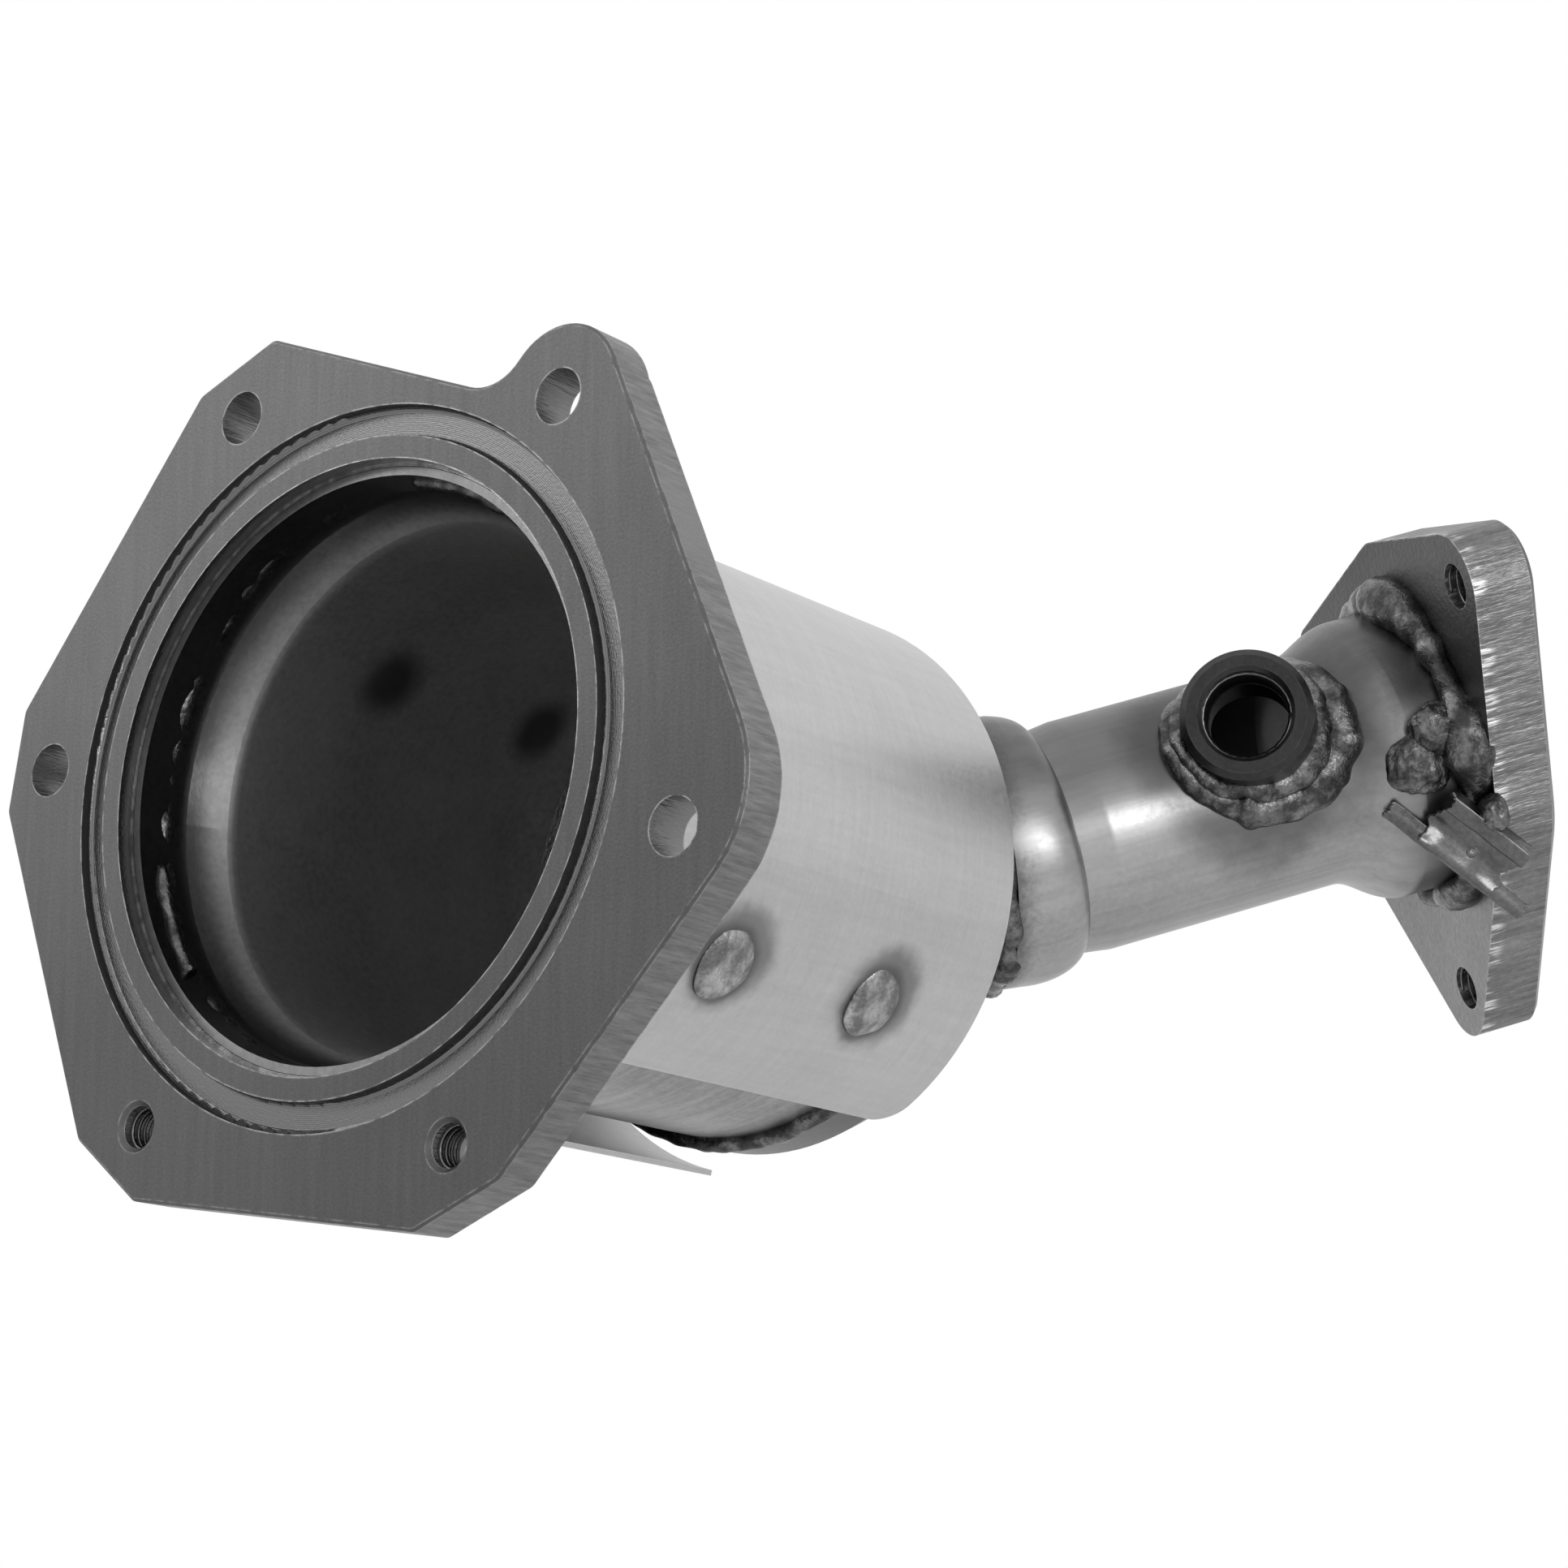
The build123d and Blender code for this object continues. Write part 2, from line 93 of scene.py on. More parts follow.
# Torn hanger, in the pipe's frame. It starts at an angle in degrees, a gap over the pipe and a
# distance along it. Its two sections are in millimetres, across the way it runs.
hanger_start = (215.2, 1.8 * mm, 58.2 * mm)
hanger_along = Vector((0.138, -0.773, 0.619))
hanger_facing = Vector((-0.77, -0.48, -0.42))
hanger_sheet = 0.96 * mm
channel_path = ((0, 1.2), (7.6, 1.2), (8.3, 3.4), (11.2, 3.4), (11.9, 0.6))
strap_path = ((-1.0, 0.2), (2.6, 0.0))

# Weld beads: sides of the section, and steps in a full turn
bead_sides = 16
bead_steps = 300

# Camera at the photograph's viewpoint
camera_place = Vector((-387.997, -382.933, -148.382)) * mm
camera_azimuth = radians(-52.716)
camera_elevation = radians(-15.014)
camera_lens = 82.78

# Studio
floor_level = -0.36
floor_radius = 9.0
bright_side = (0.62, -0.62, 0.48)

# Threads: pitch in millimetres by the tapping drill's radius, and steps in a turn
thread_pitches = {3.4: 1.25, 4.25: 1.5, 8.2: 1.5}
thread_steps = 28


def basis(origin, axis, up=Vector((0, 0, 1))):
    """Matrix of a frame whose z runs along axis and whose y is as near to up as it can be."""
    z = Vector(axis).normalized()
    x = up.cross(z).normalized()
    y = z.cross(x)
    return Matrix.Translation(origin) @ Matrix((x, y, z)).transposed().to_4x4()


main_frame = basis(Vector(), Vector((1, 0, 0)))
pipe_frame = basis(knee, pipe_axis)
bell_axis = Vector((cos(bell_pitch) * cos(bell_yaw), -cos(bell_pitch) * sin(bell_yaw), sin(bell_pitch)))
bell_frame = basis(knee, bell_axis)
boss_frame = basis(boss_face, boss_axis)


# Node helpers

class Tree:
    """Adds shader nodes with their inputs and settings in one call."""

    def __init__(self, tree):
        self.tree = tree

    def add(self, kind, inputs=None, **settings):
        node = self.tree.nodes.new(kind)
        for key, value in settings.items():
            setattr(node, key, value)
        for key, value in (inputs or {}).items():
            self.feed(node.inputs[key], value)
        return node

    def feed(self, socket, value):
        """Link a socket to an output, or set it to a plain value."""
        if isinstance(value, bpy.types.NodeSocket):
            self.tree.links.new(value, socket)
        else:
            socket.default_value = value

    def math(self, operation, first, second=0.0, third=0.0, clamp=False):
        inputs = {0: first, 1: second, 2: third}
        return self.add("ShaderNodeMath", inputs, operation=operation, use_clamp=clamp).outputs[0]

    def remap(self, value, low, high, to_low=0.0, to_high=1.0, smooth=True):
        kind = "SMOOTHSTEP" if smooth else "LINEAR"
        inputs = {"Value": value, "From Min": low, "From Max": high, "To Min": to_low, "To Max": to_high}
        return self.add("ShaderNodeMapRange", inputs, interpolation_type=kind, clamp=True).outputs[0]

    def mix(self, factor, first, second):
        """Plain number mix."""
        return self.add("ShaderNodeMix", {0: factor, 2: first, 3: second}, data_type="FLOAT").outputs[0]

    def grey(self, value):
        """Neutral colour from one number."""
        return self.add("ShaderNodeCombineColor", {0: value, 1: value, 2: value}).outputs[0]

    def noise(self, vector, scale, detail=3.0, roughness=0.55):
        inputs = {"Vector": vector, "Scale": scale, "Detail": detail, "Roughness": roughness}
        return self.add("ShaderNodeTexNoise", inputs).outputs[0]

    def vector(self, operation, first, second):
        """Two vectors joined by an operation that gives a vector."""
        return self.add("ShaderNodeVectorMath", {0: first, 1: second}, operation=operation).outputs[0]

    def dot(self, first, second):
        node = self.add("ShaderNodeVectorMath", {0: first, 1: second}, operation="DOT_PRODUCT")
        return node.outputs["Value"]

    def scaled(self, vector, factors):
        """Vector multiplied part by part, to stretch a pattern."""
        return self.vector("MULTIPLY", vector, factors)

    def times(self, vector, factor):
        """Vector multiplied by one number."""
        return self.add("ShaderNodeVectorMath", {0: vector, "Scale": factor}, operation="SCALE").outputs[0]

    def parts(self, vector):
        node = self.add("ShaderNodeSeparateXYZ", {0: vector})
        return node.outputs[0], node.outputs[1], node.outputs[2]


def new_group(name, inputs, outputs):
    """Empty shader group; inputs and outputs are name, socket type and default."""
    group = bpy.data.node_groups.new(name, "ShaderNodeTree")
    for title, kind, default in inputs:
        socket = group.interface.new_socket(title, in_out="INPUT", socket_type=kind)
        if default is not None:
            socket.default_value = default
    for title in outputs:
        group.interface.new_socket(title, in_out="OUTPUT", socket_type="NodeSocketFloat")
    tree = Tree(group)
    start = tree.add("NodeGroupInput")
    end = tree.add("NodeGroupOutput")
    return group, tree, start.outputs, end.inputs


number, vector_kind = "NodeSocketFloat", "NodeSocketVector"


def make_grain():
    """Fine pits over broad clouds: Shade is about 1, Height is for a bump."""
    inputs = [("Vector", vector_kind, None), ("Fine", number, 1500.0), ("Broad", number, 25.0),
              ("Contrast", number, 0.25)]
    group, tree, source, result = new_group("metal grain", inputs, ["Shade", "Height"])
    fine = tree.noise(source["Vector"], source["Fine"], 2.0, 0.6)
    broad = tree.noise(source["Vector"], source["Broad"], 4.0, 0.6)
    both = tree.math("ADD", tree.math("MULTIPLY", fine, 0.45), tree.math("MULTIPLY", broad, 0.55))
    centred = tree.math("SUBTRACT", both, 0.5)
    shade = tree.math("MULTIPLY_ADD", centred, tree.math("MULTIPLY", source["Contrast"], 4.0), 1.0)
    tree.feed(result["Shade"], shade)
    tree.feed(result["Height"], fine)
    return group


def make_streaks():
    """Drawn or brushed lines, from a vector that is already stretched along them."""
    inputs = [("Vector", vector_kind, None), ("Scale", number, 400.0), ("Contrast", number, 0.2)]
    group, tree, source, result = new_group("brushed streaks", inputs, ["Shade", "Height"])
    lines = tree.noise(source["Vector"], source["Scale"], 4.0, 0.65)
    centred = tree.math("SUBTRACT", lines, 0.5)
    shade = tree.math("MULTIPLY_ADD", centred, tree.math("MULTIPLY", source["Contrast"], 4.0), 1.0)
    tree.feed(result["Shade"], shade)
    tree.feed(result["Height"], lines)
    return group


def make_spot():
    """Soft ball round Centre: Mask falls from 1 inside Inner to 0 at Outer, both in metres."""
    inputs = [("Vector", vector_kind, None), ("Centre", vector_kind, None), ("Inner", number, 0.006),
              ("Outer", number, 0.012), ("Ragged", number, 0.0)]
    group, tree, source, result = new_group("heat spot", inputs, ["Mask"])
    ends = {0: source["Vector"], 1: source["Centre"]}
    reach = tree.add("ShaderNodeVectorMath", ends, operation="DISTANCE").outputs["Value"]
    ragged = tree.math("SUBTRACT", tree.noise(source["Vector"], 140.0, 3.0), 0.5)
    distance = tree.math("MULTIPLY_ADD", ragged, source["Ragged"], reach)
    mask = tree.remap(distance, source["Inner"], source["Outer"], 1.0, 0.0)
    tree.feed(result["Mask"], mask)
    return group


def make_edge_wear():
    """Worn corners: Mask is up to Amount on sharp edges, in broken stretches."""
    inputs = [("Vector", vector_kind, None), ("Amount", number, 1.0)]
    group, tree, source, result = new_group("edge wear", inputs, ["Mask"])
    bevel = tree.add("ShaderNodeBevel", {"Radius": 0.0006}, samples=6)
    facing = tree.add("ShaderNodeNewGeometry")
    same = tree.dot(bevel.outputs[0], facing.outputs["Normal"])
    edge = tree.remap(same, 0.99, 0.86, 0.0, 1.0)
    broken = tree.remap(tree.noise(source["Vector"], 420.0, 3.0), 0.35, 0.6)
    mask = tree.math("MULTIPLY", tree.math("MULTIPLY", edge, broken), source["Amount"])
    tree.feed(result["Mask"], mask)
    return group


def make_cut_stripes():
    """Stripes that run straight through a plate along Axis, as a flame or laser leaves them."""
    inputs = [("Vector", vector_kind, None), ("Axis", vector_kind, None), ("Scale", number, 900.0)]
    group, tree, source, result = new_group("cut stripes", inputs, ["Shade", "Height"])
    drop = tree.times(source["Axis"], tree.dot(source["Vector"], source["Axis"]))
    flat = tree.vector("SUBTRACT", source["Vector"], drop)
    point = tree.vector("ADD", flat, tree.times(drop, 0.12))
    lines = tree.noise(point, source["Scale"], 3.0, 0.7)
    shade = tree.remap(lines, 0.3, 0.72, 0.72, 1.35, smooth=False)
    tree.feed(result["Shade"], shade)
    tree.feed(result["Height"], lines)
    return group


groups = {
    "grain": make_grain(),
    "streaks": make_streaks(),
    "spot": make_spot(),
    "edge wear": make_edge_wear(),
    "cut stripes": make_cut_stripes(),
}


class Finish(Tree):
    """A metal or ceramic material under construction, with its point and shader at hand."""

    def __init__(self, name, metallic=1.0):
        self.material = bpy.data.materials.new(name)
        self.material.use_nodes = True
        super().__init__(self.material.node_tree)
        self.shader = self.tree.nodes["Principled BSDF"]
        self.shader.inputs["Metallic"].default_value = metallic
        self.point = self.add("ShaderNodeTexCoord").outputs["Object"]
        self.normal = self.add("ShaderNodeNewGeometry").outputs["Normal"]

    def group(self, name, inputs=None):
        """Outputs of a shader group laid on the material's own point unless Vector is given."""
        return self.add("ShaderNodeGroup", {"Vector": self.point, **(inputs or {})},
                        node_tree=groups[name]).outputs

    def spot(self, centre, inner, outer, ragged=0.0):
        return self.group("spot", {"Centre": centre, "Inner": inner, "Outer": outer, "Ragged": ragged})

    def many(self, operation, values):
        """One operation run through a list of values."""
        total = values[0]
        for value in values[1:]:
            total = self.math(operation, total, value)
        return total

    def bump(self, height, distance, strength=1.0, normal=None):
        inputs = {"Height": height, "Distance": distance, "Strength": strength}
        if normal is not None:
            inputs["Normal"] = normal
        return self.add("ShaderNodeBump", inputs).outputs[0]

    def finish(self, shade, roughness, normal):
        self.feed(self.shader.inputs["Base Color"], self.grey(shade))
        self.feed(self.shader.inputs["Roughness"], roughness)
        self.feed(self.shader.inputs["Normal"], normal)
        return self.material


def side_mask(finish, axis):
    """1 on walls that run along axis, 0 on faces across it."""
    return finish.remap(finish.math("ABSOLUTE", finish.dot(finish.normal, axis)), 0.35, 0.75, 1.0, 0.0)


def inner_mask(finish, outward):
    """1 on a tube's inside, 0 on its outside, from a vector that points away from its axis."""
    return finish.remap(finish.dot(outward, finish.normal), 0.002, -0.002)


def inlet_flange_finish():
    """Ground plate with a turned, shiny groove and bore, and striped cut edges."""
    f = Finish("ground inlet plate")
    _, y, z = f.parts(f.point)
    radius = f.math("SQRT", f.math("ADD", f.math("MULTIPLY", y, y), f.math("MULTIPLY", z, z)))
    grain = f.group("grain", {"Fine": 1900.0, "Broad": 16.0, "Contrast": 0.22})
    brushed = f.scaled(f.point, (1.0, 1.0, 0.06))
    ground = f.group("streaks", {"Vector": brushed, "Scale": 700.0, "Contrast": 0.1})
    stripes = f.group("cut stripes", {"Axis": (1, 0, 0), "Scale": 1100.0})
    wear = f.group("edge wear", {"Amount": 0.8})["Mask"]
    turning_rate = 21000.0
    turned = f.math("SINE", f.math("MULTIPLY", radius, turning_rate))
    groove = f.math("MULTIPLY", f.remap(radius, groove_inner - 0.2 * mm, groove_inner + 0.1 * mm),
                    f.remap(radius, groove_outer - 0.1 * mm, groove_outer + 0.2 * mm, 1.0, 0.0))
    bore = f.remap(radius, bore_radius + 0.05 * mm, bore_radius + 0.25 * mm, 1.0, 0.0)
    side = f.math("MULTIPLY", side_mask(f, (1, 0, 0)), f.remap(radius, land_outer, land_outer + 1 * mm))
    holes = f.math("MULTIPLY", side, f.remap(radius, hole_walls_within, hole_walls_within - 1 * mm))
    # Painted reflection: the ground face is made lighter towards the top and the left.
    painted_reflection_slope = f.remap(f.math("MULTIPLY_ADD", y, 0.6, z), -60 * mm, 75 * mm, 0.105, 0.15, smooth=False)
    face = f.many("MULTIPLY", [grain["Shade"], ground["Shade"], painted_reflection_slope])
    edge = f.math("MULTIPLY", stripes["Shade"], 0.19)
    shade = f.mix(side, face, edge)
    shade = f.mix(groove, shade, f.math("MULTIPLY_ADD", turned, 0.03, 0.17))
    shade = f.mix(bore, shade, 0.18)
    shade = f.mix(holes, shade, 0.22)
    shade = f.mix(wear, shade, 0.5)
    rough = f.mix(groove, f.mix(side, 0.46, 0.42), 0.26)
    rough = f.mix(bore, rough, 0.24)
    normal = f.bump(f.mix(side, grain["Height"], f.math("MULTIPLY", stripes["Height"], 6.0)), 0.00006)
    normal = f.bump(f.math("MULTIPLY", turned, groove), 0.00001, 0.5, normal)
    return f.finish(shade, rough, normal)


def rosette_axes():
    """Point on the can's axis and outward direction of each plug weld."""
    return [(Vector((station, 0, 0)), Vector((0, cos(angle), sin(angle))))
            for angle in rosette_angles for station in rosette_stations]


def rosette_centres(radius):
    """Centre of each plug weld at a radius from the can's axis."""
    return [point + outward * radius for point, outward in rosette_axes()]


def can_finish():
    """Rolled stainless with burn marks behind the plug welds; inside, a painted shadow darkens the band
    near the mouth and the wall further in is painted lighter.
    """
    f = Finish("rolled can sheet")
    inside = inner_mask(f, f.scaled(f.point, (0, 1, 1)))
    grain = f.group("grain", {"Fine": 900.0, "Broad": 30.0, "Contrast": 0.3})
    rolled = f.scaled(f.point, (9.0, 1.0, 1.0))
    streaks = f.group("streaks", {"Vector": rolled, "Scale": 50.0, "Contrast": 0.25})
    centres = rosette_centres(can_inner)
    burns = [f.spot(centre, 2.5 * mm, 9.0 * mm, 2.0 * mm)["Mask"] for centre in centres]
    burn = f.many("MAXIMUM", burns)
    # Painted shadow and light: the inside is dark in a band near the mouth, shaded by the flange bore, and
    # lighter further in, lit through the opening.
    painted_shadow_throat = f.remap(f.parts(f.point)[0], swage_end - 1 * mm, mouth_end + 1 * mm)
    dark = f.math("MULTIPLY", grain["Shade"], f.mix(painted_shadow_throat, 0.42, 0.16))
    dark = f.mix(burn, dark, 0.1)
    light = f.math("MULTIPLY", f.math("MULTIPLY", grain["Shade"], streaks["Shade"]), 0.3)
    shade = f.mix(inside, light, dark)
    rough = f.mix(inside, 0.34, f.mix(painted_shadow_throat, 0.48, 0.22))
    dent = f.many("ADD", [f.spot(centre, 0.5 * mm, 8.0 * mm)["Mask"] for centre in centres])
    normal = f.bump(dent, 0.0011)
    normal = f.bump(grain["Height"], 0.00003, 0.6, normal)
    return f.finish(shade, rough, normal)


def shield_finish():
    """Satin sheet with faint rolling lines and pulled-in dimples at the plug welds, with heat tint round
    them moved up and to the right to paint the shade on each dimple's upper side.
    """
    f = Finish("heat shield sheet")
    grain = f.group("grain", {"Fine": 1200.0, "Broad": 22.0, "Contrast": 0.10})
    rolled = f.scaled(f.point, (12.0, 1.0, 1.0))
    scratched = f.scaled(f.point, (1.0, 14.0, 14.0))
    streaks = f.group("streaks", {"Vector": rolled, "Scale": 60.0, "Contrast": 0.05})
    scratch = f.group("streaks", {"Vector": scratched, "Scale": 45.0, "Contrast": 0.05})
    wear = f.group("edge wear", {"Amount": 0.6})["Mask"]
    centres = rosette_centres(shield_radius)
    # Heat tint round each plug weld, moved up and to the right so that it also paints the shade on the
    # upper side of each dimple.
    painted_shade_offset = Vector((1.2, -0.4, 1.6)) * mm
    tints_and_painted_shade = [f.spot(centre + painted_shade_offset, 6.2 * mm, 11.5 * mm, 5.0 * mm)["Mask"] for centre in centres]
    tint = f.many("MAXIMUM", tints_and_painted_shade)
    ring = f.many("MAXIMUM", [f.spot(centre, 6.0 * mm, 8.2 * mm, 2.0 * mm)["Mask"] for centre in centres])
    plain = f.many("MULTIPLY", [grain["Shade"], streaks["Shade"], scratch["Shade"]])
    shade = f.math("MULTIPLY", plain, 0.50)
    shade = f.mix(f.math("MULTIPLY", tint, 0.7), shade, 0.10)
    shade = f.mix(f.math("MULTIPLY", ring, 0.7), shade, 0.08)
    shade = f.mix(wear, shade, 0.6)
    rough = f.math("MULTIPLY_ADD", grain["Height"], 0.12, 0.30)
    dent = f.many("ADD", [f.spot(centre, 5.5 * mm, 12.5 * mm)["Mask"] for centre in centres])
    normal = f.bump(dent, -0.0009)
    normal = f.bump(grain["Height"], 0.00003, 0.5, normal)
    return f.finish(shade, rough, normal)


def across_axis(finish, offset):
    """Parts of a vector across the pipe's axis and along it."""
    drop = finish.times(tuple(pipe_axis), finish.dot(offset, tuple(pipe_axis)))
    return finish.vector("SUBTRACT", offset, drop), drop


def pipe_finish():
    """Drawn tube and pressed cone: satin with lines along the pipe and tint near the welds."""
    f = Finish("drawn pipe")
    grain = f.group("grain", {"Fine": 1000.0, "Broad": 45.0, "Contrast": 0.18})
    along = f.dot(f.point, pipe_axis)
    across, drop = across_axis(f, f.point)
    stretched = f.vector("ADD", across, f.times(drop, 0.04))
    streaks = f.group("streaks", {"Vector": stretched, "Scale": 130.0, "Contrast": 0.26})
    rim = f.spot(boss_face - boss_axis * boss_height, 19.0 * mm, 30.0 * mm, 8.0 * mm)["Mask"]
    start = (knee + pipe_axis * (outlet_face - 9 * mm)).dot(pipe_axis)
    ragged = f.math("SUBTRACT", grain["Shade"], 1.0)
    weld_end = f.math("MULTIPLY_ADD", ragged, 0.01, along)
    collar = f.remap(weld_end, start - 9 * mm, start + 2 * mm)
    bell_weld = (knee - bell_axis * bell_back).dot(bell_axis)
    bell_way = f.math("MULTIPLY_ADD", ragged, 0.01, f.dot(f.point, bell_axis))
    foot = f.remap(bell_way, bell_weld + 5 * mm, bell_weld - 1 * mm)
    heat = f.many("MAXIMUM", [rim, collar, foot])
    offset = f.vector("SUBTRACT", f.point, tuple(knee))
    height = f.dot(offset, tuple(pipe_frame.col[1].xyz))
    inside = inner_mask(f, across_axis(f, offset)[0])
    # Painted light: darker on top and lighter towards the bottom, as light falls from below.
    plain = f.remap(f.math("MULTIPLY_ADD", ragged, 0.03, height), -16 * mm, 20 * mm, 0.36, 0.15)
    shade = f.many("MULTIPLY", [grain["Shade"], streaks["Shade"], plain])
    shade = f.mix(f.math("MULTIPLY", heat, 0.75), shade, 0.07)
    shade = f.mix(inside, shade, 0.05)
    rough = f.math("MULTIPLY_ADD", grain["Height"], 0.16, 0.27)
    normal = f.bump(streaks["Height"], 0.00004, 0.7)
    normal = f.bump(grain["Height"], 0.00002, 0.5, normal)
    return f.finish(shade, rough, normal)


def outlet_flange_finish():
    """Rear face, dark and painted lighter towards the bottom; striped edges with a row of painted
    highlights along the rear edge.
    """
    f = Finish("cut outlet plate")
    rear = (knee + pipe_axis * outlet_face).dot(pipe_axis)
    depth = f.math("SUBTRACT", f.dot(f.point, pipe_axis), rear)
    grain = f.group("grain", {"Fine": 900.0, "Broad": 40.0, "Contrast": 0.3})
    stripes = f.group("cut stripes", {"Axis": tuple(pipe_axis), "Scale": 750.0})
    wear = f.group("edge wear", {"Amount": 0.7})["Mask"]
    side = side_mask(f, tuple(pipe_axis))
    # Painted highlights: a row of bright dashes on the cut sides along the rear edge.
    painted_edge_glints = f.math("MULTIPLY", f.remap(depth, 3.4 * mm, 1.2 * mm), f.remap(stripes["Height"], 0.5, 0.62))
    # Painted light: the rear face is darker at the top and lighter towards the bottom, as light falls from
    # below.
    upward = f.parts(f.point)[2]
    face = f.math("MULTIPLY", grain["Shade"], f.remap(upward, 0.09, -0.01, 0.05, 0.24))
    edge = f.math("MULTIPLY", f.math("MULTIPLY", stripes["Shade"], grain["Shade"]), 0.20)
    shade = f.mix(side, face, edge)
    shade = f.mix(f.math("MULTIPLY", painted_edge_glints, side), shade, 0.72)
    shade = f.mix(wear, shade, 0.5)
    rough = f.mix(side, 0.40, 0.44)
    normal = f.bump(f.mix(side, grain["Height"], f.math("MULTIPLY", stripes["Height"], 5.0)), 0.00012)
    return f.finish(shade, rough, normal)


def weld_finish(name, dark, bright, roughness):
    """Oxidised weld metal: patches of dark, rougher scale over bright ripples."""
    f = Finish(name)
    grain = f.group("grain", {"Fine": 1400.0, "Broad": 170.0, "Contrast": 0.5})
    patches = f.remap(f.noise(f.point, 190.0, 4.0, 0.65), 0.38, 0.66)
    shade = f.math("MULTIPLY", f.mix(patches, dark, bright), grain["Shade"])
    rough = f.mix(patches, roughness + 0.16, roughness)
    normal = f.bump(f.noise(f.point, 900.0, 4.0, 0.6), 0.0003)
    return f.finish(shade, rough, normal)


def plain_metal(name, shade, roughness, contrast, bump=0.00004):
    """Even metal with fine grain and lighter worn edges."""
    f = Finish(name)
    grain = f.group("grain", {"Fine": 1100.0, "Broad": 80.0, "Contrast": contrast})
    wear = f.group("edge wear", {"Amount": 0.8})["Mask"]
    tone = f.mix(wear, f.math("MULTIPLY", grain["Shade"], shade), min(shade * 2.4, 0.7))
    return f.finish(tone, roughness, f.bump(grain["Height"], bump))


def fired_ceramic():
    """Matt brick with fine pores."""
    f = Finish("fired ceramic", metallic=0.0)
    grain = f.group("grain", {"Fine": 1500.0, "Broad": 60.0, "Contrast": 0.2})
    return f.finish(f.math("MULTIPLY", grain["Shade"], 0.42), 0.85, f.bump(grain["Height"], 0.0001))


def fibre_mat():
    """Matt mat with its fibres laid mostly one way."""
    f = Finish("fibre mat", metallic=0.0)
    laid = f.scaled(f.point, (1.0, 0.3, 2.5))
    fibres = f.group("streaks", {"Vector": laid, "Scale": 900.0, "Contrast": 0.4})
    return f.finish(f.math("MULTIPLY", fibres["Shade"], 0.5), 0.95, f.bump(fibres["Height"], 0.0004))


finishes = {
    "plate": inlet_flange_finish(),
    "can": can_finish(),
    "shield": shield_finish(),
    "pipe": pipe_finish(),
    "outlet plate": outlet_flange_finish(),
    "weld": weld_finish("weld metal", dark=0.05, bright=0.20, roughness=0.22),
    "bright weld": weld_finish("bright plug weld", dark=0.16, bright=0.42, roughness=0.26),
    "root weld": weld_finish("glossy root weld", dark=0.05, bright=0.16, roughness=0.16),
    "boss": plain_metal("dark turned boss", shade=0.045, roughness=0.32, contrast=0.3),
    "thread": plain_metal("cut thread", shade=0.16, roughness=0.30, contrast=0.2),
    "sheet": plain_metal("torn hanger sheet", shade=0.13, roughness=0.28, contrast=0.5),
    "wire": plain_metal("knitted seal wire", shade=0.2, roughness=0.45, contrast=0.6, bump=0.0004),
    "ceramic": fired_ceramic(),
    "mat": fibre_mat(),
}

node_finishes = {
    "inlet_flange": "plate",
    "can_shell": "can",
    "inlet_weld": "weld",
    "inlet_root_weld": "root weld",
    "substrate": "ceramic",
    "support_mat": "mat",
    "front_seal_ring": "wire",
    "rear_seal_ring": "wire",
    "end_cone": "pipe",
    "cone_weld": "weld",
    "outlet_bell": "pipe",
    "outlet_tube": "pipe",
    "bell_weld": "weld",
    "sensor_boss": "boss",
    "boss_weld": "weld",
    "outlet_flange": "outlet plate",
    "outlet_weld": "weld",
    "heat_shield": "shield",
    "standoffs": "can",
    "rosette_welds": "bright weld",
    "hanger_strap": "sheet",
    "hanger_channel": "sheet",
    "hanger_weld": "weld",
}

for node, finish in node_finishes.items():
    for slot in frame["nodes"][node].material_slots:
        slot.material = finishes[finish]


# Mesh helpers

def piece_from(name, mesh, finish, place=None, replaced=()):
    """Object at the origin from a bmesh, riding on the body and standing for its CAD nodes."""
    if place is not None:
        bmesh.ops.transform(mesh, matrix=place, verts=mesh.verts)
    bmesh.ops.recalc_face_normals(mesh, faces=mesh.faces)
    for face in mesh.faces:
        face.smooth = True
    data = bpy.data.meshes.new(name)
    mesh.to_mesh(data)
    mesh.free()
    piece = bpy.data.objects.new(name, data)
    bpy.context.collection.objects.link(piece)
    data.materials.append(finishes[finish])
    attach(piece, "root")
    if replaced:
        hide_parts(*replaced)


def ripple(angle, count, seed):
    """Scallops along a weld bead, of uneven length and depth, from about -1 to 1."""
    around = Vector((cos(angle), sin(angle), seed))
    phase = angle * count / tau + 1.4 * noise.noise(around * 2)
    scallop = 1 - 2 * abs(2 * (phase % 1) - 1) ** 1.6
    return scallop * (0.6 + noise.noise(around * 5))


def lumps_at(angle, lumps):
    """Sum of soft bumps given as (angle and half width in degrees, amount)."""
    total = 0.0
    for centre, half_width, amount in lumps:
        away = abs((degrees(angle) - centre + 180) % 360 - 180) / half_width
        total += amount * (0.5 + 0.5 * cos(pi * min(away, 1)))
    return total


